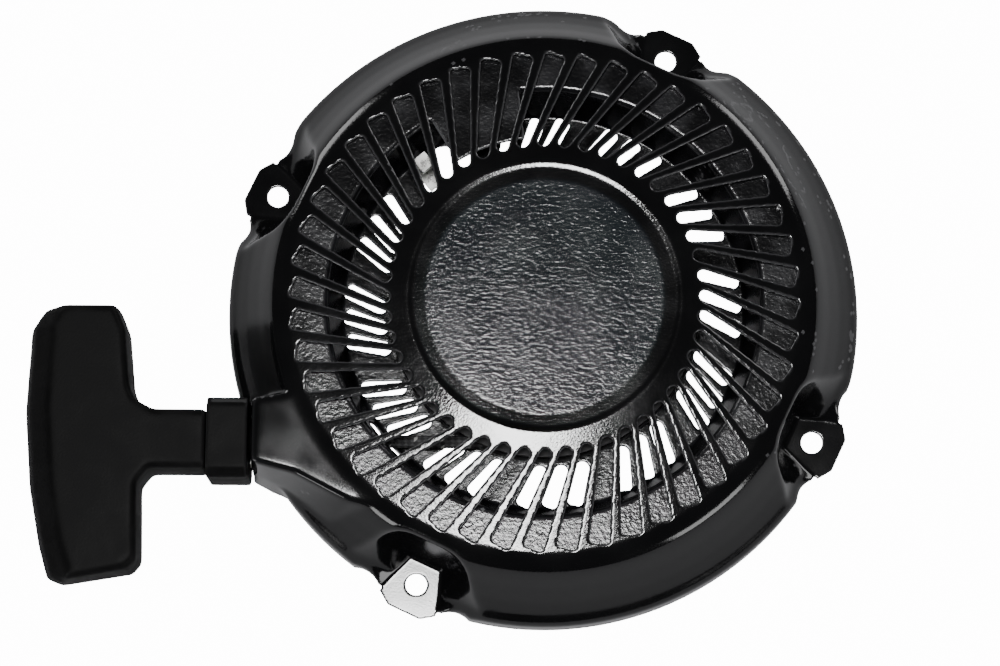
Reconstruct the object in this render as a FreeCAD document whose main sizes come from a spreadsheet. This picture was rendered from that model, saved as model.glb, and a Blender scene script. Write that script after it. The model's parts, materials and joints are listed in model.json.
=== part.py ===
import FreeCAD, Part
import math
import os
import Sketcher

Vector = FreeCAD.Vector
UP = Vector(0, 0, 1)

# Driving dimensions in mm and degrees. Texts that start with "=" are worked out in the sheet.
SIZES = {
    # pressed housing
    "bolt_circle": "189",
    "ear_count": "4",
    "ear_start_angle": "65.2",
    "ear_hole": "6.7",
    "steel": "1.2",
    "rim_radius": "100",
    "disc_radius": "41",
    "disc_height": "38",
    "bead_height": "38.3",
    "bead_width": "1.5",
    "top_edge_radius": "79.6",
    "top_edge_height": "34.3",
    "shoulder_radius": "82.4",
    "shoulder_height": "33.5",
    "band_top": "11.4",
    "slot_count": "48",
    "slot_inner_radius": "48.1",
    "slot_outer_radius": "78.4",
    "slot_start_angle": "5.1",
    "slot_sweep": "11.4",
    "slot_inner_width": "3.6",
    "slot_outer_width": "6.3",
    "slot_corner": "0.8",
    # inner guard
    "guard_steel": "1",
    "guard_top": "31.8",
    "guard_outer_radius": "81.4",
    "guard_bend_radius": "68.5",
    "guard_floor_radius": "63.7",
    "guard_floor_top": "14",
    "guard_ring_inner": "46",
    "guard_slot_inner": "50",
    "guard_slot_outer": "62.8",
    "guard_slot_width": "4.2",
    "spoke_count": "12",
    "first_spoke": "1",
    # rope and its outlet
    "rope_diameter": "4",
    "rope_line": "-43",
    "layer_rise": "4.1",
    "rope_start": "45",
    "rope_travel": "1980",
    "outlet_width": "25",
    "outlet_left": "-104.4",
    "outlet_wall": "-91.5",
    "outlet_low": "7.5",
    "outlet_top": "32",
    # reel, spring and post
    "reel_back": "14.6",
    "reel_front": "27",
    "reel_flange_radius": "48.6",
    "groove_low": "16.5",
    "groove_high": "25.3",
    "post_radius": "6.5",
    "post_end": "10.3",
    "running_fit": "0.05",
    "bush_wall": "1",
    "hub_radius": "13",
    "hub_back": "13",
    "cup_radius": "35",
    "cup_wall": "0.8",
    "cup_height": "8.8",
    "spring_strip": "0.6",
    "spring_width": "7",
    "spring_turns": "7",
    # ratchets
    "pivot_radius": "22",
    "pin_radius": "2",
    "ratchet_length": "16",
    "ratchet_thick": "2.6",
    "ratchet_low": "11.2",
    "ratchet_swing": "30",
    "guide_lag": "25",
    "guide_low": "9",
    "guide_steel": "1",
    "clip_low": "11.5",
    "clip_steel": "0.6",
    # handle
    "grip_front": "29.4",
    "grip_back": "8.4",
    "stem_width": "19.4",
    "stem_line": "-43.7",
    # worked out
    "bolt_radius": "=bolt_circle / 2",
    "disc_underside": "=disc_height - steel",
    "bush_inner": "=post_radius + running_fit",
    "bush_outer": "=bush_inner + bush_wall",
    "cup_inner": "=cup_radius - cup_wall",
    "cup_top": "=reel_front + cup_height",
    "cup_floor_top": "=reel_front + cup_wall",
    "post_flange_low": "=disc_underside - 1.6",
    "rope_radius": "=rope_diameter / 2",
    "third_layer": "=-rope_line",
    "second_layer": "=third_layer - layer_rise",
    "first_layer": "=second_layer - layer_rise",
    "groove_radius": "=first_layer - rope_radius - 0.1",
    "rope_height": "=groove_low + rope_radius + 0.3",
    "hole_height": "=groove_high - rope_radius - 0.3",
    "ratchet_top": "=ratchet_low + ratchet_thick",
}


def make_sheet(document):
    """Puts every driving dimension in the sheet, one row each, under its own name."""
    sheet = document.addObject("Spreadsheet::Sheet", "Sizes")
    for row, (alias, text) in enumerate(SIZES.items(), start=1):
        sheet.set(f"A{row}", alias)
        sheet.set(f"B{row}", text)
        sheet.setAlias(f"B{row}", alias)
    document.recompute()
    return sheet


document = FreeCAD.newDocument("recoil_starter")
sizes = make_sheet(document)


def size(alias):
    """The value of one named dimension."""
    return float(sizes.get(alias))


# ---------------------------------------------------------------- helpers


def polar(radius, angle, height=0.0):
    """A point at a radius and an angle in degrees about the vertical axis."""
    turn = math.radians(angle)
    return Vector(radius * math.cos(turn), radius * math.sin(turn), height)


def turned(shape, angle):
    """A copy of a shape turned about the vertical axis."""
    copy = shape.copy()
    copy.rotate(Vector(), UP, angle)
    return copy


def prism(points, low, high):
    """A solid with a flat outline given as (x, y) and straight vertical sides."""
    corners = [Vector(x, y, low) for x, y in points]
    face = Part.Face(Part.makePolygon(corners + corners[:1]))
    return face.extrude(Vector(0, 0, high - low))


def ring(profile):
    """A turned solid from a closed outline given as (radius, height)."""
    corners = [Vector(radius, 0, height) for radius, height in profile]
    face = Part.Face(Part.makePolygon(corners + corners[:1]))
    return face.revolve(Vector(), UP, 360)


def rod(start, end, radius):
    """A round bar between two points."""
    return Part.makeCylinder(radius, (end - start).Length, start, end - start)


def around(shape, count, start=0.0):
    """Copies of a shape spread evenly about the vertical axis."""
    return [turned(shape, start + 360.0 * index / count) for index in range(count)]


def upright(solid, radius, reach):
    """Rounds the vertical edges of a solid that stand for at least the given height."""
    edges = []
    for edge in solid.Edges:
        box = edge.BoundBox
        if box.ZLength > reach and box.XLength < 0.01 and box.YLength < 0.01:
            edges.append(edge)
    return solid.makeFillet(radius, edges)


def feature(name, shape):
    """A sub-part that stamping, braiding or moulding shapes in ways no sketch feature gives."""
    piece = document.addObject("Part::Feature", name)
    piece.Label = name
    piece.Shape = shape.removeSplitter()
    return piece


def origin_plane(body, role):
    """One of the body's own origin planes."""
    for item in body.Origin.OriginFeatures:
        if item.Role == role:
            return item
    raise ValueError(role)


def sketch_outline(body, name, role, corners):
    """A closed outline whose corners are tied to the sheet, given as pairs of expressions."""
    sketch = body.newObject("Sketcher::SketchObject", name)
    sketch.AttachmentSupport = [(origin_plane(body, role), "")]
    sketch.MapMode = "FlatFace"
    values = [(value_of(across), value_of(along)) for across, along in corners]
    count = len(values)
    for index in range(count):
        start = Vector(*values[index], 0)
        end = Vector(*values[(index + 1) % count], 0)
        sketch.addGeometry(Part.LineSegment(start, end), False)
    for index in range(count):
        sketch.addConstraint(Sketcher.Constraint("Coincident", index, 2, (index + 1) % count, 1))
    for index, (across, along) in enumerate(corners):
        for kind, text, value in (
            ("DistanceX", across, values[index][0]),
            ("DistanceY", along, values[index][1]),
        ):
            number = sketch.addConstraint(Sketcher.Constraint(kind, -1, 1, index, 1, value))
            sketch.setExpression(f"Constraints[{number}]", in_sheet(text))
    return sketch


def in_sheet(text):
    """An expression with every dimension name pointed at the sheet."""
    words = []
    for word in text.split():
        words.append(f"Sizes.{word}" if word in SIZES else word)
    return " ".join(words)


def value_of(text):
    """What an expression of dimension names, numbers and signs comes to."""
    total = 0.0
    sign = 1.0
    for word in text.split():
        if word in "+-":
            sign = 1.0 if word == "+" else -1.0
            continue
        total += sign * (size(word) if word in SIZES else float(word))
    return total


def turned_body(name, corners):
    """A sub-part turned on the vertical axis from one sketched half section."""
    body = document.addObject("PartDesign::Body", name)
    body.Label = name
    sketch = sketch_outline(body, name + "_section", "XZ_Plane", corners)
    turn = body.newObject("PartDesign::Revolution", name + "_turn")
    turn.Profile = sketch
    turn.ReferenceAxis = (sketch, ["V_Axis"])
    turn.Angle = 360
    body.Tip = turn
    document.recompute()
    return body


# ---------------------------------------------------------------- pressed housing


def skirt_line():
    """The outside of the housing from its centre to the foot of the rim's upright band."""
    shoulder = size("shoulder_radius")
    height = size("shoulder_height")
    rim = size("rim_radius")
    band = size("band_top")
    return [
        (0, size("disc_height")),
        (size("disc_radius"), size("disc_height")),
        (size("disc_radius") + size("bead_width"), size("bead_height")),
        (size("top_edge_radius"), size("top_edge_height")),
        (shoulder, height),
        (shoulder + 2.4, height - 1.3),
        (shoulder + 4.4, height - 4.3),
        (shoulder + 7.2, height - 8.9),
        (rim - 6.6, band + 7.6),
        (rim - 3.0, band + 3.2),
        (rim - 0.8, band + 1.2),
        (rim, band),
        (rim, 0),
    ]


def inset(line, depth):
    """The same line moved to the inner side of the sheet, mitred at each corner."""
    moved = []
    for index, (radius, height) in enumerate(line):
        normals = []
        for first, second in ((index - 1, index), (index, index + 1)):
            if first < 0 or second >= len(line):
                continue
            run = line[second][0] - line[first][0]
            rise = line[second][1] - line[first][1]
            length = math.hypot(run, rise)
            normals.append((rise / length, -run / length))
        across = sum(normal[0] for normal in normals)
        down = sum(normal[1] for normal in normals)
        scale = depth * len(normals) / (across * across + down * down)
        moved.append((radius + across * scale, height + down * scale))
    return moved


def outer_form():
    """The housing's outside as a solid, without its slots and pockets."""
    return ring(skirt_line() + [(0, 0)])


def inner_form():
    """The space inside the housing's sheet, run on a little below the mounting face."""
    line = inset(skirt_line(), size("steel"))
    line[0] = (0, line[0][1])
    foot = line[-1][0]
    return ring(line + [(foot, -1), (0, -1)])


def pocket(grow):
    """The hollow pressed in the skirt above one ear, along +X; grown by the sheet for the inner side."""
    floor = size("steel") - grow
    shoulder = size("shoulder_radius")
    top = 45.0
    lip = size("shoulder_height") + 1.5
    # distance out, floor height, half width of the floor, height and half width of the crest
    stations = [
        (shoulder + 0.8 - grow, lip, 6.0, lip + 0.5, 9.8),
        (shoulder + 4.6 - grow, floor, 5.6, 27.0, 14.8),
        (shoulder + 12.3, floor, 8.2, 13.5, 22.5),
        (shoulder + 23.6, floor, 11.5, 8.0, 30.0),
    ]
    wires = []
    for along, base, base_half, crest, crest_half in stations:
        bottom = base_half + 0.3 * grow
        side = crest_half + 0.6 * grow
        edge = max(crest - 0.8 * grow, base + 0.05)
        section = [
            (-side, top),
            (-side, edge),
            (-bottom, base),
            (bottom, base),
            (side, edge),
            (side, top),
        ]
        corners = [Vector(along, across, height) for across, height in section]
        wires.append(Part.makePolygon(corners + corners[:1]))
    return Part.makeLoft(wires, True, True)


def lobe(depth):
    """The bulge of the housing that carries the rope outlet; depth moves its walls inward."""
    wall = size("outlet_wall")
    foot = [
        (wall, -30.2), (wall, -53.6), (-85.6, -56.8), (-81.1, -58.6), (-76.3, -63.6),
        (-69, -71.5), (-56, -72), (-52, -60), (-60, -22),
    ]
    middle = [
        (wall + 0.2, -30.4), (wall + 0.2, -52.6), (-85.4, -55.4), (-80.7, -56.9), (-75.6, -61),
        (-67, -69), (-56, -70), (-52, -60), (-60, -23),
    ]
    crown = [
        (wall + 1.2, -31.4), (wall + 1.2, -51.5), (-84.6, -53), (-76.8, -55), (-68, -59.5),
        (-60, -63.5), (-50, -66), (-46, -56), (-58, -27),
    ]
    heights = (0.0, 15.0, size("shoulder_height") - 0.3)
    wires = []
    for points, height in zip((foot, middle, crown), heights):
        corners = [Vector(x, y, height - depth) for x, y in points]
        outline = Part.makePolygon(corners + corners[:1])
        if depth:
            outline = outline.makeOffset2D(-depth, 2)
        wires.append(outline)
    return Part.makeLoft(wires, True, True)


def slot_axis():
    """The middle line of one slot: its nearest point to the vertical axis, and its direction outward."""
    inner = polar(size("slot_inner_radius"), size("slot_start_angle") + size("slot_sweep"))
    outer = polar(size("slot_outer_radius"), size("slot_start_angle"))
    along = (outer - inner).normalize()
    return inner - along * inner.dot(along), along


def slot(inner_radius, outer_radius, inner_width, outer_width, low, high, shift=0.0):
    """One straight swirled slot: full round at the inner end, small corners at the outer end."""
    nearest, along = slot_axis()
    across = Vector(-along.y, along.x, 0)
    inner = nearest + along * math.sqrt(inner_radius**2 - nearest.Length**2) + across * shift
    outer = nearest + along * math.sqrt(outer_radius**2 - nearest.Length**2) + across * shift
    narrow = inner_width / 2
    wide = outer_width / 2
    corner = size("slot_corner")
    throat = inner + along * narrow
    points = [
        throat + across * narrow,
        outer - along * corner + across * wide,
        outer + across * (wide - corner),
        outer - across * (wide - corner),
        outer - along * corner - across * wide,
        throat - across * narrow,
    ]
    body = prism([(point.x, point.y) for point in points], low, high)
    end = Part.makeCylinder(narrow, high - low, throat + Vector(0, 0, low))
    return body.fuse(end)


def housing_slot():
    """One of the slots in the housing's slanted top."""
    ends = (size("slot_inner_radius"), size("slot_outer_radius"))
    widths = (size("slot_inner_width"), size("slot_outer_width"))
    return slot(*ends, *widths, 25, 45)


def ear():
    """One mounting ear along +X, flush with the mounting face."""
    reach = size("bolt_radius") + 9.5
    points = [(86.5, -5.5), (reach - 3, -9.8), (reach, -5.5), (reach, 5.5), (reach - 3, 9.8), (86.5, 5.5)]
    return prism(points, 0, size("steel"))


def rim_dips(grow):
    """Two shallow dents in the rim's band beside an ear along +X; grown by the sheet inside."""
    centre = size("bolt_radius") + 10.7
    dents = [Part.makeCylinder(8 + grow, 60, Vector(centre, side, -5)) for side in (-16.5, 16.5)]
    return dents[0].fuse(dents[1])


def starter_case():
    """Deep-drawn steel housing: outer form less inner form, with ears, slots and openings."""
    count = int(size("ear_count"))
    start = size("ear_start_angle")
    bolt = size("bolt_radius")
    steel = size("steel")
    outside = outer_form().fuse(lobe(0))
    outside = outside.cut(around(pocket(0), count, start) + around(rim_dips(0), count, start))
    inside = inner_form().fuse(lobe(steel))
    inside = inside.cut(around(pocket(steel), count, start) + around(rim_dips(steel), count, start))
    shell = outside.cut(inside)
    shell = shell.fuse(around(ear(), count, start))
    hole = Part.makeCylinder(size("ear_hole") / 2, 6, Vector(bolt, 0, -2))
    shell = shell.cut(around(hole, count, start))
    shell = shell.cut(around(housing_slot(), int(size("slot_count"))))
    neck = rod(outlet_point(size("outlet_wall") - 3), outlet_point(size("outlet_wall") + 5), 5)
    return feature("starter_case", shell.cut([neck] + rivet_shanks()))


# ---------------------------------------------------------------- inner guard


def guard_section():
    steel = size("guard_steel")
    top = size("guard_top")
    floor = size("guard_floor_top")
    bend = size("guard_bend_radius")
    foot = size("guard_floor_radius")
    ring_inner = size("guard_ring_inner")
    return [
        (size("guard_outer_radius"), top),
        (bend, top),
        (bend - 1.2, top - 0.9),
        (foot, floor),
        (ring_inner, floor),
        (ring_inner, floor - steel),
        (foot + 0.7, floor - steel),
        (bend - 0.2, top - 1.6),
        (bend + 0.4, top - steel),
        (size("guard_outer_radius"), top - steel),
    ]


def guard_slots():
    """The slots in the guard's floor, under those of the housing, less one at each spoke."""
    floor = size("guard_floor_top")
    width = size("guard_slot_width")
    ends = (size("guard_slot_inner"), size("guard_slot_outer"))
    shape = slot(*ends, width, width + 0.5, floor - 3, floor + 0.6, -0.4)
    count = int(size("slot_count"))
    every = count // int(size("spoke_count"))
    first = int(size("first_spoke"))
    copies = around(shape, count)
    return [copy for index, copy in enumerate(copies) if (index - first) % every]


def guard_bridge():
    """The flat tongue that spans from the guard's ledge towards the reel."""
    top = size("guard_top")
    inner = 52.0
    outer = size("guard_bend_radius") + 2
    band = ring([(inner, top - 1), (outer, top - 1), (outer, top), (inner, top)])
    wedge = prism([(0, 0), tuple(polar(90, 97))[:2], tuple(polar(90, 122))[:2]], 0, 40)
    return band.common(wedge)


def inner_guard():
    """Second pressing inside the housing: ledge, conical lip, spoked floor and a notch for the rope."""
    shape = ring(guard_section()).cut(guard_slots())
    line = size("rope_line")
    notch = Part.makeBox(60, 11, 9, Vector(-88, line - 5.5, size("guard_floor_top") + 1.6))
    shape = shape.cut(notch).fuse(guard_bridge())
    return feature("inner_guard", shape)


def guard_welds():
    """Six weld buttons that hold the guard's ledge under the housing."""
    low = size("guard_top")
    button = Part.makeCylinder(1.3, 4, Vector(80, 0, low))
    underside = inset(skirt_line(), size("steel"))[4:0:-1]
    solid_above = ring(underside + [(size("disc_radius"), low - 1), (size("shoulder_radius") - 1, low - 1)])
    buttons = [piece.common(solid_above) for piece in around(button, 6, 22.5)]
    return feature("guard_welds", Part.makeCompound(buttons))


def anchor_bracket():
    """Bright steel bracket on the guard's floor, with a folded hook at its top."""
    floor = size("guard_floor_top")
    width = 4.6
    side = -width / 2
    foot = Part.makeBox(8.6, width, 1, Vector(52.6, side, floor))
    leg = Part.makeBox(1, width, 15, Vector(60.2, side, floor))
    hook = Part.makeBox(5, width, 1, Vector(56.2, side, floor + 14.0))
    lip = Part.makeBox(1, width, 3, Vector(56.2, side, floor + 12.0))
    shape = foot.fuse([leg, hook, lip])
    return feature("anchor_bracket", turned(shape, 130.5))


# ---------------------------------------------------------------- centre post and fastenings


def reel_post():
    """Flanged post welded under the disc, with a tapped bore for the centre screw."""
    body = turned_body("reel_post", [
        ("3", "post_end"),
        ("post_radius", "post_end"),
        ("post_radius", "clip_low"),
        ("post_radius - 0.8", "clip_low"),
        ("post_radius - 0.8", "clip_low + clip_steel"),
        ("post_radius", "clip_low + clip_steel"),
        ("post_radius", "post_flange_low"),
        ("hub_radius", "post_flange_low"),
        ("hub_radius", "disc_underside"),
        ("3", "disc_underside"),
    ])
    return body


def centre_screw():
    """Hexagon flange screw that holds the ratchet guide to the post."""
    hexagon = [tuple(polar(5.6, 60 * index + 30))[:2] for index in range(6)]
    seat = size("guide_low") - 0.1
    head = prism(hexagon, seat - 3.4, seat - 0.6)
    collar = Part.makeCylinder(6.6, 0.9, Vector(0, 0, seat - 0.9))
    shank = Part.makeCylinder(3, 14, Vector(0, 0, seat))
    return feature("centre_screw", head.fuse([collar, shank]))


def retaining_clip():
    """Open spring-steel clip in the post's groove that keeps the reel on."""
    low = size("clip_low")
    thick = size("clip_steel")
    post = size("post_radius")
    clip = Part.makeCylinder(post + 2.2, thick, Vector(0, 0, low))
    bore = Part.makeCylinder(post - 0.8, thick + 2, Vector(0, 0, low - 1))
    mouth = prism([(0, 3.6), (12, 5.4), (12, -5.4), (0, -3.6)], low - 1, low + 2)
    return feature("retaining_clip", clip.cut([bore, mouth]))


def thrust_washer():
    """Thin washer between the reel's hub and the clip."""
    return turned_body("thrust_washer", [
        ("post_radius + running_fit", "clip_low + clip_steel"),
        ("12", "clip_low + clip_steel"),
        ("12", "hub_back - 0.1"),
        ("post_radius + running_fit", "hub_back - 0.1"),
    ])


# ---------------------------------------------------------------- reel


def reel_bush():
    return turned_body("reel_bush", [
        ("bush_inner", "hub_back"),
        ("bush_outer", "hub_back"),
        ("bush_outer", "reel_front"),
        ("bush_inner", "reel_front"),
    ])


def reel_blank():
    """The reel as turned: hub, web, rope groove and two flanges."""
    return turned_body("reel_blank", [
        ("bush_outer", "hub_back"),
        ("hub_radius", "hub_back"),
        ("hub_radius", "reel_back"),
        ("reel_flange_radius", "reel_back"),
        ("reel_flange_radius", "groove_low"),
        ("groove_radius", "groove_low"),
        ("groove_radius", "groove_high"),
        ("reel_flange_radius", "groove_high"),
        ("reel_flange_radius", "reel_front"),
        ("bush_outer", "reel_front"),
    ])


def reel():
    """Moulded reel: the turned blank with lightening cells, pin bores and the knot's pocket."""
    blank = reel_blank().Shape
    low = size("reel_back") - 1
    rim = size("groove_radius") - 3.3
    cell = prism([(15.5, -2.4), (rim, -3.9), (rim, 3.9), (15.5, 2.4)], low, size("groove_high") - 2)
    shape = blank.cut(around(cell, 8, 22.5))
    bore = Part.makeCylinder(size("pin_radius"), 7.5, Vector(size("pivot_radius"), 0, low))
    shape = shape.cut(around(bore, 2))
    return feature("reel", shape.cut(rope_hole()))


def rope_hole():
    """The hole that takes the rope's end from the groove to the knot's pocket."""
    height = size("hole_height")
    groove = size("groove_radius")
    bore = rod(Vector(groove + 0.8, 0, height), Vector(groove - 5, 0, height), size("rope_radius") + 0.1)
    pocket_box = Part.makeBox(7.4, 9, 16, Vector(groove - 10.4, -4.5, size("reel_back") - 1))
    return turned(bore.fuse(pocket_box), 90 - size("rope_start"))


# ---------------------------------------------------------------- return spring


def spring_cup():
    """Steel cup on the front of the reel that holds the coiled strip."""
    return turned_body("spring_cup", [
        ("bush_outer + 0.6", "reel_front"),
        ("cup_radius", "reel_front"),
        ("cup_radius", "cup_top - 0.7"),
        ("cup_inner", "cup_top - 0.7"),
        ("cup_inner", "cup_floor_top"),
        ("bush_outer + 0.6", "cup_floor_top"),
    ])


def spring_cover():
    """Thin ring that closes the cup over the coiled strip."""
    return turned_body("spring_cover", [
        ("hub_radius + 1.5", "cup_top - 0.7"),
        ("cup_radius", "cup_top - 0.7"),
        ("cup_radius", "cup_top"),
        ("hub_radius + 1.5", "cup_top"),
    ])


def spiral_curve(first, last, turns, shift):
    """A smooth spiral line, moved outward by the shift."""
    steps = int(turns * 18)
    points = []
    for index in range(steps + 1):
        share = index / steps
        radius = first + (last - first) * share + shift
        points.append(polar(radius, 360.0 * turns * share))
    curve = Part.BSplineCurve()
    curve.interpolate(points)
    return curve


def spiral_spring():
    """Flat strip coiled from the post's groove out to the cup's wall."""
    first = size("post_radius") + 0.05
    last = size("cup_inner") - size("spring_strip") - 0.1
    turns = size("spring_turns")
    inner = spiral_curve(first, last, turns, 0.0)
    outer = spiral_curve(first, last, turns, size("spring_strip"))
    edges = [inner.toShape(), outer.toShape()]
    for parameter in ("FirstParameter", "LastParameter"):
        start = inner.value(getattr(inner, parameter))
        end = outer.value(getattr(outer, parameter))
        edges.append(Part.LineSegment(start, end).toShape())
    wire = Part.Wire(Part.__sortEdges__(edges))
    strip = Part.Face(wire).extrude(Vector(0, 0, size("spring_width")))
    strip.translate(Vector(0, 0, size("cup_floor_top") + 0.2))
    return feature("spiral_spring", strip)


# ---------------------------------------------------------------- ratchets


def ratchet_shape():
    """One ratchet with its pivot at (pivot radius, 0), lying towards -Y, with a guide peg below."""
    low = size("ratchet_low")
    thick = size("ratchet_thick")
    pivot = size("pivot_radius")
    length = size("ratchet_length")
    eye = Part.makeCylinder(4.2, thick, Vector(pivot, 0, low))
    arm = prism([
        (pivot - 4.2, 0),
        (pivot - 4.4, -length * 0.55),
        (pivot - 3.4, -length + 1.2),
        (pivot + 0.4, -length),
        (pivot + 1.6, -length + 3.0),
        (pivot + 3.2, -length * 0.5),
        (pivot + 4.2, 0),
    ], low, low + thick)
    peg = Part.makeCylinder(1.2, 2.6, peg_centre() + Vector(0, 0, low - 2.3))
    bore = Part.makeCylinder(size("pin_radius") + size("running_fit"), thick + 2, Vector(pivot, 0, low - 1))
    return eye.fuse([arm, peg]).cut(bore)


def ratchets():
    shape = ratchet_shape()
    return [feature("ratchet_a", shape), feature("ratchet_b", turned(shape, 180))]


def ratchet_pins():
    """Two headed pins pressed in the reel."""
    pivot = size("pivot_radius")
    low = size("ratchet_low")
    pin = Part.makeCylinder(size("pin_radius"), 10.4, Vector(pivot, 0, low - 0.5))
    head = Part.makeCylinder(2.6, 0.4, Vector(pivot, 0, low - 0.6))
    shape = pin.fuse(head)
    return feature("ratchet_pins", Part.makeCompound([shape, turned(shape, 180)]))


def ratchet_spring(name, angle):
    """A small wire spring around a ratchet's pin, above the ratchet."""
    pivot = size("pivot_radius")
    middle = (size("ratchet_top") + size("reel_back")) / 2
    wire = 0.3
    coil = Part.makeTorus(3.0, wire, Vector(pivot, 0, middle), UP)
    legs = [
        rod(Vector(pivot + 3.0, 0.5, middle), Vector(pivot + 3.4, -9, middle), wire),
        rod(Vector(pivot - 3.0, 0.5, middle), Vector(pivot - 3.0, 7, middle), wire),
    ]
    return feature(name, turned(coil.fuse(legs), angle))


def peg_centre():
    """Where a ratchet's guide peg sits at rest."""
    return Vector(size("pivot_radius") - 1.4, -size("ratchet_length") * 0.62, 0)


def cam_window(low, high):
    """The slot a peg sweeps in the guide while the guide lags and the ratchet swings out."""
    pivot = Vector(size("pivot_radius"), 0, 0)
    steps = 6
    reach = 1.2 + 0.35
    centres = []
    for index in range(steps + 1):
        share = index / steps
        swing = FreeCAD.Rotation(UP, size("ratchet_swing") * share)
        lag = FreeCAD.Rotation(UP, -size("guide_lag") * share)
        centres.append(lag.multVec(pivot + swing.multVec(peg_centre() - pivot)) + Vector(0, 0, low))
    slot_parts = [Part.makeCylinder(reach, high - low, centre) for centre in centres]
    for start, end in zip(centres, centres[1:]):
        along = (end - start).normalize()
        across = Vector(-along.y, along.x, 0) * reach
        corners = [start + across, end + across, end - across, start - across]
        slot_parts.append(prism([(corner.x, corner.y) for corner in corners], low, high))
    return slot_parts[0].fuse(slot_parts[1:])


def ratchet_guide():
    """Pressed disc with two wings, each with a cam slot for a ratchet's peg."""
    low = size("guide_low")
    high = low + size("guide_steel")
    bore = 3 + size("running_fit")
    plate = ring([(bore, low), (17.5, low), (17.5, high), (bore, high)])
    band = ring([(16, low), (30.6, low), (30.6, high), (16, high)])
    sector = prism([(0, 0), tuple(polar(50, -13))[:2], tuple(polar(50, -57))[:2]], low - 1, high + 1)
    wing = upright(band.common(sector), 2.0, 0.5)
    window = cam_window(low - 1, high + 1)
    shape = plate.fuse([wing, turned(wing, 180)])
    shape = shape.cut([window, turned(window, 180)])
    return feature("ratchet_guide", shape)


def friction_spring():
    """Open wire ring that drags on the guide."""
    middle = size("guide_low") + size("guide_steel") + 0.5
    wire = Part.makeTorus(9.5, 0.5, Vector(0, 0, middle), UP)
    gap = Part.makeBox(6, 4, 4, Vector(6, -2, middle - 2))
    return feature("friction_spring", wire.cut(gap))


# ---------------------------------------------------------------- rope


def outlet_point(x):
    """A point on the rope's way through the outlet."""
    return Vector(x, size("rope_line"), size("rope_height"))


def winding_stages():
    """Travel about the axis, radius and height along the winding: three layers, two turns wide."""
    first = size("first_layer")
    second = size("second_layer")
    third = size("third_layer")
    far = size("hole_height")
    near = size("rope_height")
    return [
        (size("rope_start"), first, far),
        (330, first, far),
        (390, first, near),
        (660, first, near),
        (730, second, near),
        (985, second, near),
        (1045, second, far),
        (1315, second, far),
        (1385, third, far),
        (1640, third, far),
        (1700, third, near),
        (size("rope_travel"), third, near),
    ]


def winding_points():
    """Points along the winding, from the reel's hole to where the rope leaves it."""
    stages = winding_stages()
    points = []
    for (travel, radius, height), (next_travel, next_radius, next_height) in zip(stages, stages[1:]):
        steps = max(int((next_travel - travel) / 12), 1)
        for index in range(steps):
            share = index / steps
            ease = share * share * (3 - 2 * share)
            angle = 90 - travel - (next_travel - travel) * share
            level = height + (next_height - height) * ease
            points.append(polar(radius + (next_radius - radius) * ease, angle, level))
    travel, radius, height = stages[-1]
    return points + [polar(radius, 90 - travel, height)]


def rope_winding():
    """The wound part of the rope, one continuous cord."""
    points = winding_points()
    curve = Part.BSplineCurve()
    curve.interpolate(points)
    path = Part.Wire([curve.toShape()])
    start = curve.tangent(curve.FirstParameter)[0]
    section = Part.Wire([Part.makeCircle(size("rope_radius"), points[0], start)])
    coil = path.makePipeShell([section], True, True)
    return feature("rope_winding", coil)


def rope_run():
    """The rope from the reel's side, through the outlet and into the handle."""
    end = outlet_point(-140.4)
    start = outlet_point(-0.05)
    return feature("rope_run", rod(start, end, size("rope_radius")))


def rope_reel_knot():
    """The knot behind the reel's hole, with the short lead into the groove."""
    height = size("hole_height")
    middle = Vector(size("groove_radius") - 6.5, 0, height)
    end = Vector(size("groove_radius") + 0.05, 0, height)
    reach = Vector(3.2, 0, 0)
    knot = rod(middle - reach, middle + reach, 3.2)
    knot = knot.makeChamfer(1.2, [edge for edge in knot.Edges if len(edge.Vertexes) == 1])
    lead = rod(middle, end, size("rope_radius") - 0.2)
    return feature("rope_reel_knot", turned(knot.fuse(lead), 90 - size("rope_start")))


def rope_handle_knot():
    centre = outlet_point(-144.6)
    return feature("rope_handle_knot", Part.makeSphere(3.9, centre))


def rope_outlet():
    """Moulded guide block outside the housing, with a neck through its wall."""
    left = size("outlet_left")
    wall = size("outlet_wall")
    low = size("outlet_low")
    top = size("outlet_top")
    middle = (low + top) / 2
    half = size("outlet_width") / 2
    tall = (top - low) / 2
    cut = 2.6
    line = size("rope_line") - 0.5
    corners = []
    for across, up in ((1, 1), (-1, 1), (-1, -1), (1, -1)):
        ends = [
            Vector(left, line + across * (half - cut), middle + up * tall),
            Vector(left, line + across * half, middle + up * (tall - cut)),
        ]
        corners += ends if across * up < 0 else ends[::-1]
    block = Part.Face(Part.makePolygon(corners + corners[:1])).extrude(Vector(wall - left, 0, 0))
    neck = rod(outlet_point(wall), outlet_point(wall + 3), 4.9)
    bore = rod(outlet_point(left - 1), outlet_point(wall + 5), 3)
    mouth = rod(outlet_point(left - 1), outlet_point(left + 2.5), 4.6)
    shape = block.cut(outer_form()).fuse(neck).cut(bore).cut(mouth)
    return feature("rope_outlet", shape.cut(rivet_shanks()))


def rivet_shanks():
    """The shanks of the two rivets, from inside the block to inside the housing's wall."""
    start = outlet_point(size("outlet_wall") - 6)
    shanks = []
    for side in (-6.4, 8.0):
        point = start + Vector(0, side, -4)
        shanks.append(rod(point, point + Vector(8.8, 0, 0), 1.5))
    return shanks


def outlet_rivets():
    """Two rivets from inside the housing into the outlet block."""
    rivets = []
    for shank in rivet_shanks():
        middle = shank.BoundBox.Center
        foot = Vector(size("outlet_wall") + 1.7, middle.y, middle.z)
        head = rod(foot, foot + Vector(1.4, 0, 0), 2.4)
        rivets.append(shank.fuse(head))
    return feature("outlet_rivets", Part.makeCompound(rivets))


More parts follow.
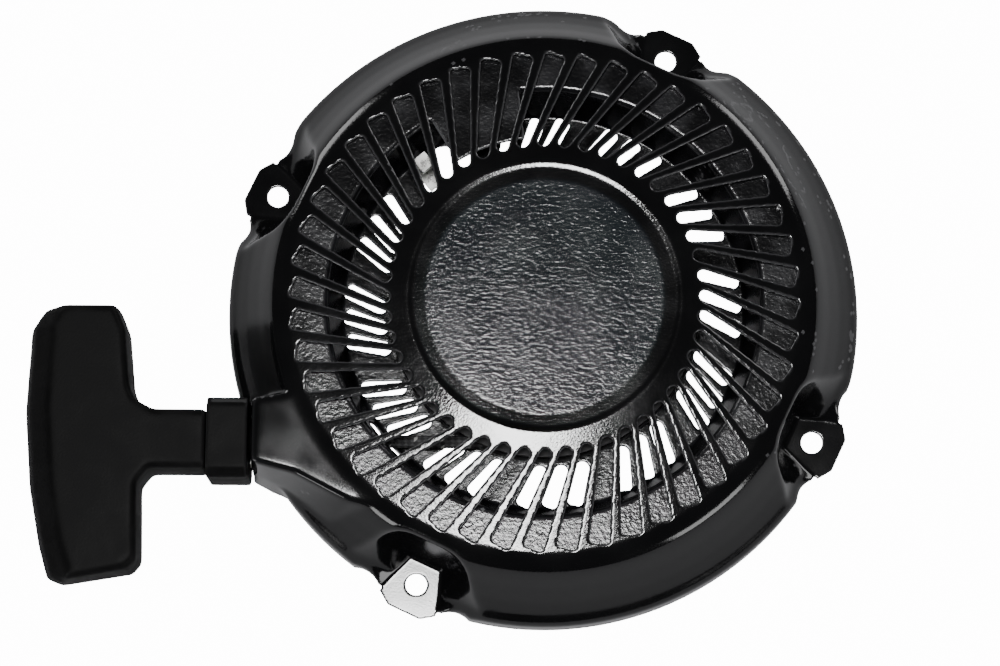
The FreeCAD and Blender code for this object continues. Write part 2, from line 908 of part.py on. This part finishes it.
def rope_ferrule():
    """Bright steel eyelet in the mouth of the outlet."""
    left = size("outlet_left")
    sleeve = rod(outlet_point(left + 0.1), outlet_point(left + 2.5), 4.6)
    hole = rod(outlet_point(left - 1), outlet_point(left + 4), 2.9)
    return feature("rope_ferrule", sleeve.cut(hole))


# ---------------------------------------------------------------- handle


def grip_outline(shrink, left_shrink):
    """The T seen from the front; the outer side comes in further than the rest."""
    stem = size("stem_line")
    half = size("stem_width") / 2
    inner = size("outlet_left") - 0.4
    return [
        (-133.4 - shrink, -1.2 - shrink),
        (-130.2 - shrink, -9 - shrink * 0.3),
        (-128.4 - shrink, -27),
        (-126.6 - shrink, -31.4),
        (-121.5, stem + half - shrink),
        (inner, stem + half - shrink),
        (inner, stem - half + shrink),
        (-122.3, stem - half + shrink),
        (-125.4 - shrink, -57.6),
        (-124.8 - shrink, -81.4 + shrink * 0.3),
        (-127.6 - shrink, -84.8 + shrink),
        (-149.6 + left_shrink * 0.3, -88.4 + shrink),
        (-154.2 + left_shrink, -86.6 + shrink),
        (-157.2 + left_shrink, -76),
        (-160.6 + left_shrink, -58),
        (-162.6 + left_shrink, -34),
        (-161.4 + left_shrink, -8),
        (-157.8 + left_shrink * 0.8, -2.4 - shrink),
        (-152.0 + left_shrink * 0.3, -1.2 - shrink),
    ]


def handle_grip():
    """Moulded T-handle: a canted crossbar with a bevelled outer side, and a stem."""
    back = size("grip_back")
    front = size("grip_front")
    sections = (
        (back, 2.2, 5.0),
        (back + 3, 0.2, 0.6),
        (back + 8, 0.0, 0.0),
        (front - 6.5, 0.1, 2.2),
        (front - 1.2, 0.5, 7.4),
        (front, 1.7, 8.8),
    )
    wires = []
    for height, shrink, left_shrink in sections:
        corners = [Vector(x, y, height) for x, y in grip_outline(shrink, left_shrink)]
        wires.append(Part.makePolygon(corners + corners[:1]))
    shape = Part.makeLoft(wires, True, True)
    bore = rod(outlet_point(-100), outlet_point(-142), size("rope_radius") + 0.6)
    well = Part.makeBox(12, 11, 17.6, Vector(-150, size("rope_line") - 5.5, back - 1))
    shape = shape.cut(bore).cut(well)
    return feature("handle_grip", shape)


def handle_plug():
    """Moulded plug that closes the knot's well from behind."""
    back = size("grip_back")
    plug = Part.makeBox(11.8, 10.8, 3, Vector(-149.9, size("rope_line") - 5.4, back + 0.6))
    return feature("handle_plug", plug)


def knot_washer():
    """Steel washer that the knot bears on."""
    plate = rod(outlet_point(-139.4), outlet_point(-138.0), 4.4)
    hole = rod(outlet_point(-146), outlet_point(-130), size("rope_radius") + 0.4)
    return feature("knot_washer", plate.cut(hole))


# ---------------------------------------------------------------- build and write


def build_all():
    pieces = [
        starter_case(), inner_guard(), guard_welds(), anchor_bracket(),
        reel_post(), centre_screw(), thrust_washer(), reel_bush(), reel(),
        spring_cup(), spring_cover(), spiral_spring(), ratchet_pins(),
        ratchet_spring("ratchet_spring_a", 0), ratchet_spring("ratchet_spring_b", 180),
        ratchet_guide(), friction_spring(), rope_winding(), rope_run(),
        rope_reel_knot(), rope_handle_knot(), rope_outlet(), rope_ferrule(),
        handle_grip(), handle_plug(), knot_washer(), outlet_rivets(), retaining_clip(),
    ]
    pieces += ratchets()
    return pieces


def write_all(pieces):
    document.recompute()
    for item in document.Objects:
        if {"Invalid", "Error"} & set(item.State):
            raise RuntimeError(f"{item.Name} has state {item.State}")
    os.makedirs("parts", exist_ok=True)
    for piece in pieces:
        if piece.Shape.isNull() or not piece.Shape.isValid():
            raise RuntimeError(f"{piece.Label} has no valid shape")
        piece.Shape.exportStep(os.path.join("parts", piece.Label + ".step"))


write_all(build_all())
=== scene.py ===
import json
import math

import bpy
from mathutils import Matrix, Vector


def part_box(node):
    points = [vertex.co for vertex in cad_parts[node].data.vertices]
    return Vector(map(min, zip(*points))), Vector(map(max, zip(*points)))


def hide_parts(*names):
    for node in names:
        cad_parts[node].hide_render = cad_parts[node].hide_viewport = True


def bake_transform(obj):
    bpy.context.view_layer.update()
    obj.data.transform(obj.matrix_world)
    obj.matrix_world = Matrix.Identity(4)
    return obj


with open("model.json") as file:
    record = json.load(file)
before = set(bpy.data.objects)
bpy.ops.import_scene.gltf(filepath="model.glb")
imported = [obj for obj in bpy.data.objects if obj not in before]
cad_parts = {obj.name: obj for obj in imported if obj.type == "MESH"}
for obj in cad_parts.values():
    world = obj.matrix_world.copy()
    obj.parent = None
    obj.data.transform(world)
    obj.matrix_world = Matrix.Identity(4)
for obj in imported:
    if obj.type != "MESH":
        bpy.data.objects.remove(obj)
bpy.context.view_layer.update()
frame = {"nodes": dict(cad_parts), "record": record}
NODES = frame["nodes"]
MM = 0.001


# ---------------------------------------------------------------- node helpers


def connect(tree, value, socket):
    """Feeds a shader or geometry socket from another socket, or sets it to a plain value."""
    if isinstance(value, bpy.types.NodeSocket):
        tree.links.new(value, socket)
    else:
        socket.default_value = value


def add(tree, kind, inputs=(), **settings):
    """A new node with its settings and its inputs, which are given by name or number."""
    item = tree.nodes.new(kind)
    for name, value in settings.items():
        setattr(item, name, value)
    for key, value in dict(inputs).items():
        connect(tree, value, item.inputs[key])
    return item


def maths(tree, operation, first, second=0.0):
    """One arithmetic step; the result is a socket."""
    return add(tree, "ShaderNodeMath", {0: first, 1: second}, operation=operation).outputs[0]


def ramp(tree, value, low, high, start=0.0, end=1.0):
    """A smooth change from start to end while the value goes from low to high."""
    limits = {"Value": value, "From Min": low, "From Max": high, "To Min": start, "To Max": end}
    return add(tree, "ShaderNodeMapRange", limits, interpolation_type="SMOOTHSTEP").outputs[0]


def mixed(tree, share, first, second):
    """A blend of two colours."""
    item = add(tree, "ShaderNodeMix", data_type="RGBA")
    connect(tree, share, item.inputs[0])
    connect(tree, first, item.inputs[6])
    connect(tree, second, item.inputs[7])
    return item.outputs[2]


def place(tree):
    """Where the shaded point is on the part, in metres."""
    return add(tree, "ShaderNodeTexCoord").outputs["Object"]


def noise(tree, scale, detail=2.0, distortion=0.0, where=None):
    """Cloudy variation; scale is how many patches there are in a metre."""
    inputs = {"Vector": where or place(tree), "Scale": scale, "Detail": detail, "Distortion": distortion}
    return add(tree, "ShaderNodeTexNoise", inputs).outputs["Fac"]


def axis_distance(tree):
    """How far the shaded point is from the vertical axis, in metres."""
    flat = add(tree, "ShaderNodeVectorMath", {0: place(tree), 1: (1, 1, 0)}, operation="MULTIPLY")
    return add(tree, "ShaderNodeVectorMath", {0: flat.outputs[0]}, operation="LENGTH").outputs["Value"]


def edges(tree, low=0.505, high=0.56):
    """One on sharp outer edges, zero on flats; lightening these edges is part wear, part painted highlight.
    """
    pointed = add(tree, "ShaderNodeNewGeometry").outputs["Pointiness"]
    return ramp(tree, pointed, low, high)


def relief(tree, height, depth, below=None):
    """A fine surface relief of the given depth in metres, on top of another one."""
    item = add(tree, "ShaderNodeBump", {"Height": height, "Distance": depth, "Strength": 1.0})
    if below is not None:
        tree.links.new(below, item.inputs["Normal"])
    return item.outputs["Normal"]


def new_material(name, colour, roughness, metallic=0.0, specular=0.5, build=None):
    """A Principled material; build gets the node tree and returns the sockets to use."""
    material = bpy.data.materials.new(name)
    material.use_nodes = True
    tree = material.node_tree
    shader = tree.nodes["Principled BSDF"]
    shader.inputs["Metallic"].default_value = metallic
    shader.inputs["Specular IOR Level"].default_value = specular
    shader.inputs["Base Color"].default_value = (*colour, 1)
    shader.inputs["Roughness"].default_value = roughness
    if build:
        for socket, value in build(tree).items():
            connect(tree, value, shader.inputs[socket])
    return material


# ---------------------------------------------------------------- materials


def housing_paint():
    """Gloss black paint over pressed steel: leathery on the disc, finer towards the skirt."""

    def build(tree):
        radius = axis_distance(tree)
        squashed = add(tree, "ShaderNodeVectorMath", {0: place(tree), 1: (1, 1.8, 1)}, operation="MULTIPLY")
        leather = noise(tree, 560, detail=3, distortion=0.8, where=squashed.outputs[0])
        peel = noise(tree, 1500, detail=2)
        skirt = ramp(tree, radius, 81.5 * MM, 86 * MM)
        disc = ramp(tree, radius, 36 * MM, 38 * MM, 1.0, 0.0)
        coarse = maths(tree, "MULTIPLY", leather, ramp(tree, disc, 0, 1, 0.3, 1.0))
        coarse = maths(tree, "MULTIPLY", coarse, ramp(tree, skirt, 0, 1, 1.0, 0.12))
        fine = maths(tree, "MULTIPLY", peel, ramp(tree, skirt, 0, 1, 0.5, 0.15))
        normal = relief(tree, coarse, 0.08 * MM)
        normal = relief(tree, fine, 0.05 * MM, below=normal)
        # lighter grey on sharp edges: part paint wear, part painted highlight standing in for the bright
        # slot-edge and bend lines
        wear_and_sheen = edges(tree)
        blotches = noise(tree, 60, detail=4)
        deep_black = (0.002, 0.002, 0.0023, 1)
        faded_black = (0.0045, 0.0046, 0.005, 1)
        disc_blue_black = (0.006, 0.008, 0.011, 1)
        wear_and_sheen_grey = (0.1, 0.1, 0.105, 1)
        colour = mixed(tree, blotches, deep_black, faded_black)
        colour = mixed(tree, disc, colour, disc_blue_black)
        colour = mixed(tree, maths(tree, "MULTIPLY", wear_and_sheen, 0.5), colour, wear_and_sheen_grey)
        rough = ramp(tree, disc, 0, 1, 0.11, 0.17)
        rough = maths(tree, "ADD", rough, ramp(tree, blotches, 0.3, 0.7, -0.02, 0.04))
        return {"Base Color": colour, "Roughness": rough, "Normal": normal}

    return new_material("housing_paint", (0.006, 0.006, 0.007), 0.3, build=build)


def guard_paint():
    """Dark grey textured paint, rubbed brighter here and there on the ledge."""

    def build(tree):
        grain = noise(tree, 900, detail=3)
        patches = noise(tree, 90, detail=5)
        # random lighter patches of worn paint, the same under any light
        wear_and_sheen = ramp(tree, patches, 0.4, 0.65)
        colour = mixed(tree, wear_and_sheen, (0.003, 0.003, 0.0035, 1), (0.009, 0.009, 0.0105, 1))
        # lighter grey on sharp edges: part paint wear, part painted highlight on the bends
        colour = mixed(tree, edges(tree), colour, (0.1, 0.1, 0.105, 1))
        rough = ramp(tree, patches, 0.3, 0.7, 0.14, 0.22)
        return {"Base Color": colour, "Roughness": rough, "Normal": relief(tree, grain, 0.09 * MM)}

    return new_material("guard_paint", (0.04, 0.04, 0.043), 0.4, build=build)


def plated(name, tint, roughness, scale):
    """Plated or bare metal with brushed streaks and dull patches."""

    def build(tree):
        stretched = add(tree, "ShaderNodeVectorMath", {0: place(tree), 1: (1, 1, 9)}, operation="MULTIPLY")
        streaks = noise(tree, scale, detail=4, where=stretched.outputs[0])
        patches = noise(tree, 140, detail=4)
        dull = tuple(channel * 0.6 for channel in tint)
        colour = mixed(tree, ramp(tree, patches, 0.35, 0.65), (*dull, 1), (*tint, 1))
        rough = ramp(tree, streaks, 0.3, 0.7, roughness - 0.07, roughness + 0.12)
        return {"Base Color": colour, "Roughness": rough, "Normal": relief(tree, streaks, 0.03 * MM)}

    return new_material(name, tint, roughness, metallic=1.0, build=build)


def moulded(name, shade, roughness, grain_size, depth):
    """Moulded plastic with a fine spark-eroded grain and handling marks."""

    def build(tree):
        grain = noise(tree, grain_size, detail=3)
        marks = noise(tree, 70, detail=5, distortion=1.0)
        # lighter grey on sharp edges: part wear, part painted highlight
        wear_and_sheen = maths(tree, "MULTIPLY", edges(tree, 0.51, 0.6), 0.35)
        clean = (shade, shade, shade * 1.03, 1)
        rubbed = (shade * 1.7, shade * 1.7, shade * 1.75, 1)
        colour = mixed(tree, ramp(tree, marks, 0.35, 0.7), clean, rubbed)
        colour = mixed(tree, wear_and_sheen, colour, (0.09, 0.09, 0.092, 1))
        rough = ramp(tree, marks, 0.3, 0.7, roughness - 0.05, roughness + 0.08)
        return {"Base Color": colour, "Roughness": rough, "Normal": relief(tree, grain, depth)}

    return new_material(name, (shade,) * 3, roughness, specular=0.05, build=build)


def braid(name, along, around_cord):
    """Black braided cord with pale flecks; along and around_cord build the two braid coordinates."""

    def build(tree):
        run = along(tree)
        turn = around_cord(tree)
        first = maths(tree, "SINE", maths(tree, "ADD", run, turn))
        second = maths(tree, "SINE", maths(tree, "SUBTRACT", run, turn))
        weave = maths(tree, "MULTIPLY", first, second)
        strands = ramp(tree, weave, -0.6, 0.8)
        fleck = ramp(tree, maths(tree, "SINE", maths(tree, "MULTIPLY", run, 0.5)), 0.86, 0.97)
        fleck = maths(tree, "MULTIPLY", fleck, ramp(tree, first, 0.0, 0.4))
        fibres = noise(tree, 2600, detail=3)
        colour = mixed(tree, strands, (0.012, 0.012, 0.013, 1), (0.05, 0.05, 0.052, 1))
        colour = mixed(tree, fleck, colour, (0.35, 0.35, 0.34, 1))
        normal = relief(tree, strands, 0.3 * MM)
        normal = relief(tree, fibres, 0.06 * MM, below=normal)
        rough = ramp(tree, fibres, 0.3, 0.7, 0.7, 0.95)
        return {"Base Color": colour, "Roughness": rough, "Normal": normal}

    return new_material(name, (0.04, 0.04, 0.042), 0.85, build=build)


def parts_of(tree):
    """The x, y and z of the shaded point."""
    return add(tree, "ShaderNodeSeparateXYZ", {0: place(tree)}).outputs


def straight_braid():
    """Braid for the part of the rope that runs along X."""
    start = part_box("rope_run")[0]
    radius = 2 * MM
    centre_y = start.y + radius
    centre_z = start.z + radius

    def along(tree):
        return maths(tree, "MULTIPLY", parts_of(tree)[0], 1500)

    def around_cord(tree):
        _, y, z = parts_of(tree)
        across = maths(tree, "SUBTRACT", y, centre_y)
        up = maths(tree, "SUBTRACT", z, centre_z)
        return maths(tree, "MULTIPLY", maths(tree, "ARCTAN2", up, across), 4)

    return braid("rope_braid_straight", along, around_cord)


def wound_braid():
    """Braid for the part of the rope that is wound about the vertical axis."""

    def along(tree):
        x, y, _ = parts_of(tree)
        return maths(tree, "MULTIPLY", maths(tree, "ARCTAN2", y, x), 60)

    def around_cord(tree):
        z = parts_of(tree)[2]
        return maths(tree, "MULTIPLY", maths(tree, "ADD", z, axis_distance(tree)), 1900)

    return braid("rope_braid_wound", along, around_cord)


# ---------------------------------------------------------------- surfaces


def dress(node, material):
    """Gives a CAD node its one material."""
    mesh = NODES[node].data
    mesh.materials.clear()
    mesh.materials.append(material)


def bevelled(node, width):
    """Breaks the sharp edges of a CAD node and shades its round faces smooth."""
    piece = NODES[node]
    for face in piece.data.polygons:
        face.use_smooth = True
    bevel = piece.modifiers.new("broken_edges", "BEVEL")
    bevel.width = width
    bevel.segments = 2
    bevel.limit_method = "ANGLE"
    bevel.angle_limit = math.radians(35)
    bevel.harden_normals = True


def blur_group(name, rounds, weight=None):
    """Geometry nodes that relax a surface; weight builds where it acts, from the point's place."""
    tree = bpy.data.node_groups.new(name, "GeometryNodeTree")
    tree.interface.new_socket("Geometry", in_out="INPUT", socket_type="NodeSocketGeometry")
    tree.interface.new_socket("Geometry", in_out="OUTPUT", socket_type="NodeSocketGeometry")
    source = tree.nodes.new("NodeGroupInput").outputs[0]
    position = tree.nodes.new("GeometryNodeInputPosition").outputs[0]
    blur = add(tree, "GeometryNodeBlurAttribute", data_type="FLOAT_VECTOR")
    sockets = {item.name: item for item in blur.inputs if item.enabled}
    connect(tree, position, sockets["Value"])
    connect(tree, rounds, sockets["Iterations"])
    if weight:
        connect(tree, weight(tree, position), sockets["Weight"])
    result = [item for item in blur.outputs if item.enabled][0]
    moved = add(tree, "GeometryNodeSetPosition", {"Geometry": source, "Position": result})
    tree.links.new(moved.outputs[0], tree.nodes.new("NodeGroupOutput").inputs[0])
    return tree


def skirt_weight(tree, position):
    """Full on the skirt, none on the slotted top and near the rim's lower edge."""
    flat = add(tree, "ShaderNodeVectorMath", {0: position, 1: (1, 1, 0)}, operation="MULTIPLY")
    radius = add(tree, "ShaderNodeVectorMath", {0: flat.outputs[0]}, operation="LENGTH").outputs["Value"]
    height = add(tree, "ShaderNodeSeparateXYZ", {0: position}).outputs[2]
    outside = ramp(tree, radius, 80.5 * MM, 84 * MM)
    raised = ramp(tree, height, 2.2 * MM, 6 * MM)
    return maths(tree, "MULTIPLY", outside, raised)


def softened(node, voxel, rounds, skirt_rounds):
    """Gives a pressed or moulded node the rounded edges that its flat-sided CAD solid lacks."""
    piece = NODES[node]
    skin = piece.modifiers.new("even_skin", "REMESH")
    skin.mode = "VOXEL"
    skin.voxel_size = voxel
    skin.use_smooth_shade = True
    relax = piece.modifiers.new("rounded", "NODES")
    relax.node_group = blur_group(node + "_rounded", rounds)
    if skirt_rounds:
        relax = piece.modifiers.new("drawn", "NODES")
        relax.node_group = blur_group(node + "_drawn", skirt_rounds, skirt_weight)


# ---------------------------------------------------------------- own pieces


def make_mesh(name, points, faces, material):
    """A smooth-shaded mesh object from points in metres."""
    mesh = bpy.data.meshes.new(name)
    mesh.from_pydata(points, [], faces)
    mesh.update()
    for face in mesh.polygons:
        face.use_smooth = True
    mesh.materials.append(material)
    piece = bpy.data.objects.new(name, mesh)
    bpy.context.scene.collection.objects.link(piece)
    return piece


def rope_piece(material):
    """The rope's free run as a finely divided cord."""
    low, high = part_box("rope_run")
    radius = (high.z - low.z) / 2
    centre = (low + high) / 2
    rings = 360
    sides = 24
    points = []
    for ring in range(rings + 1):
        x = high.x + (low.x - high.x) * ring / rings
        for side in range(sides):
            angle = 2 * math.pi * side / sides
            points.append((x, centre.y + radius * math.cos(angle), centre.z + radius * math.sin(angle)))
    faces = [tuple(range(sides))]
    for ring in range(rings):
        for side in range(sides):
            near = ring * sides + side
            beside = ring * sides + (side + 1) % sides
            faces.append((near, near + sides, beside + sides, beside))
    faces.append(tuple(rings * sides + side for side in reversed(range(sides))))
    rope = make_mesh("rope_cord", points, faces, material)
    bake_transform(rope)
    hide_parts("rope_run")


# ---------------------------------------------------------------- stage, lights and camera


def floor():
    """A wide pale floor just under the part, blown out to white where it is seen, open from below."""
    material = bpy.data.materials.new("floor_white")
    material.use_nodes = True
    tree = material.node_tree
    out = tree.nodes["Material Output"]
    plain = add(tree, "ShaderNodeBsdfDiffuse", {"Color": (0.42, 0.42, 0.43, 1)})
    glow = add(tree, "ShaderNodeEmission", {"Color": (1, 1, 1, 1), "Strength": 14.0})
    seen = add(tree, "ShaderNodeLightPath").outputs["Is Camera Ray"]
    both = add(tree, "ShaderNodeAddShader", {0: plain.outputs[0], 1: glow.outputs[0]})
    pick = add(tree, "ShaderNodeMixShader", {0: seen, 1: plain.outputs[0], 2: both.outputs[0]})
    below = add(tree, "ShaderNodeNewGeometry").outputs["Backfacing"]
    clear = add(tree, "ShaderNodeBsdfTransparent").outputs[0]
    sided = add(tree, "ShaderNodeMixShader", {0: below, 1: pick.outputs[0], 2: clear})
    tree.links.new(sided.outputs[0], out.inputs["Surface"])
    half = 4.0
    level = -0.4 * MM
    corners = [(-half, -half, level), (half, -half, level), (half, half, level), (-half, half, level)]
    make_mesh("floor", corners, [(0, 1, 2, 3)], material)


def lamp(name, position, target, width, power):
    """A square soft light that points at the target."""
    light = bpy.data.lights.new(name, "AREA")
    light.size = width
    light.energy = power
    item = bpy.data.objects.new(name, light)
    item.location = position
    item.rotation_euler = (Vector(target) - Vector(position)).to_track_quat("-Z", "Y").to_euler()
    bpy.context.scene.collection.objects.link(item)


def side_lamps():
    """Four low soft lights round the part, which show its sides and draw thin lines on its bends."""
    for number in range(4):
        angle = math.radians(45 + 90 * number)
        position = (1.3 * math.cos(angle), 1.3 * math.sin(angle), 0.4)
        lamp(f"side_{number}", position, (0, 0, 0), 0.5, 5)


def world_light(strength):
    """An even dim light from all round."""
    world = bpy.data.worlds.new("studio")
    world.use_nodes = True
    background = world.node_tree.nodes["Background"]
    background.inputs["Color"].default_value = (1, 1, 1, 1)
    background.inputs["Strength"].default_value = strength
    bpy.context.scene.world = world


def camera():
    """A long lens from high above the near side."""
    elevation = math.radians(79.04)
    distance = 1.0
    target = Vector((-13.72, -4.5, 0)) * MM
    towards = Vector((0, -math.cos(elevation), math.sin(elevation)))
    right = Vector((1, 0, 0))
    up = towards.cross(right)
    roll = math.radians(0.379)
    right, up = (
        right * math.cos(roll) + up * math.sin(roll),
        up * math.cos(roll) - right * math.sin(roll),
    )
    data = bpy.data.cameras.new("camera")
    data.lens = 112.16
    data.sensor_width = 36
    data.clip_start = 0.02
    item = bpy.data.objects.new("camera", data)
    turn = Matrix((right, up, towards)).transposed().to_4x4()
    item.matrix_world = Matrix.Translation(target + towards * distance) @ turn
    bpy.context.scene.collection.objects.link(item)
    bpy.context.scene.camera = item


# ---------------------------------------------------------------- put together


def dress_all():
    """Every node's material, as the record's slots name them."""
    slots = {
        "housing_paint": housing_paint(),
        "guard_paint": guard_paint(),
        "zinc_steel": plated("zinc_steel", (0.62, 0.62, 0.6), 0.3, 500),
        "spring_steel": plated("spring_steel", (0.3, 0.31, 0.33), 0.34, 800),
        "bronze": plated("bronze", (0.5, 0.33, 0.16), 0.45, 1200),
        "black_plastic": moulded("black_plastic", 0.003, 0.5, 1500, 0.04 * MM),
        "reel_plastic": moulded("reel_plastic", 0.006, 0.4, 1100, 0.06 * MM),
        "rope_braid": wound_braid(),
    }
    for entry in frame["record"]["subparts"]:
        dress(entry["node"], slots[entry["material_slot"]])


def shape_all():
    """Rounded edges for every node, by how it is made."""
    formed = {
        "starter_case": (0.4 * MM, 1, 30),
        "inner_guard": (0.4 * MM, 1, 0),
        "handle_grip": (0.6 * MM, 9, 0),
        "rope_outlet": (0.45 * MM, 5, 0),
    }
    for node, (voxel, rounds, skirt_rounds) in formed.items():
        softened(node, voxel, rounds, skirt_rounds)
    for node in NODES:
        if node not in formed and node != "rope_run":
            bevelled(node, 0.15 * MM)


dress_all()
shape_all()
rope_piece(straight_braid())
floor()
lamp("overhead", (-0.06, -0.09, 1.3), (0, 0, 0), 0.26, 17)
side_lamps()
world_light(0.03)
camera()
